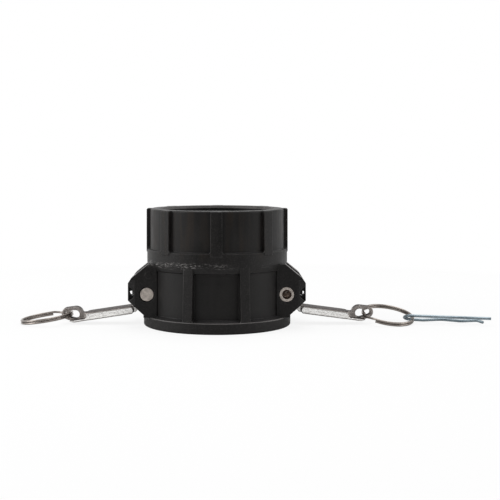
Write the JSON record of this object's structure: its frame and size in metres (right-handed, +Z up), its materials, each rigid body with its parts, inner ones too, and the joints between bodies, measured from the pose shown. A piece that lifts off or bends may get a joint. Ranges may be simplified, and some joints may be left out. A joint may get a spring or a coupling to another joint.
{
  "type": "cam and groove coupling",
  "caption": "Cam and groove hose coupler with a female cam socket, a female pipe thread, two swung-open cam arms with pull rings and a safety clip.",
  "frame": {"origin": "centre of the socket's mouth, level with the surface the coupler stands on", "axes": "+Z up the bore to the threaded end, +X to the arm that carries the safety clip, +Y away from the viewer"},
  "size_m": [0.3699, 0.116, 0.0914],
  "materials": {
    "black_plastic": "matte, fine moulded grain",
    "gasket_rubber": "matte",
    "arm_steel": "satin, tumbled",
    "pin_steel": "satin",
    "ring_steel": "satin wire",
    "clip_steel": "zinc plated wire"
  },
  "bodies": {
    "coupler": {"coupler_body": "black_plastic", "gasket": "gasket_rubber", "left_pivot_pin": "pin_steel", "right_pivot_pin": "pin_steel"},
    "left_arm": {"left_cam_arm": "arm_steel"},
    "right_arm": {"right_cam_arm": "arm_steel"},
    "left_ring": {"left_pull_ring": "ring_steel"},
    "right_ring": {"right_pull_ring": "ring_steel"},
    "clip": {"safety_clip": "clip_steel"}
  },
  "joints": [
    {"name": "left_arm_hinge", "type": "hinge", "parent": "coupler", "child": "left_arm", "pos_m": [-0.0539, 0, 0.0261], "axis": [0, 1, 0], "range_deg": [-16, 98.5]},
    {"name": "right_arm_hinge", "type": "hinge", "parent": "coupler", "child": "right_arm", "pos_m": [0.0539, 0, 0.0261], "axis": [0, -1, 0], "range_deg": [-16, 97.4]},
    {"name": "left_ring_hinge", "type": "hinge", "parent": "left_arm", "child": "left_ring", "pos_m": [-0.11526, 0, 0.00773], "axis": [0, 1, 0], "range_deg": [-150, 50]},
    {"name": "right_ring_hinge", "type": "hinge", "parent": "right_arm", "child": "right_ring", "pos_m": [0.1156, 0, 0.00891], "axis": [0, -1, 0], "range_deg": [-150, 50]},
    {"name": "clip_hinge", "type": "hinge", "parent": "right_ring", "child": "clip", "pos_m": [0.1554, 0, 0.00401], "axis": [-0.0244, -0.9799, -0.1979], "range_deg": [-10, 110]}
  ]
}
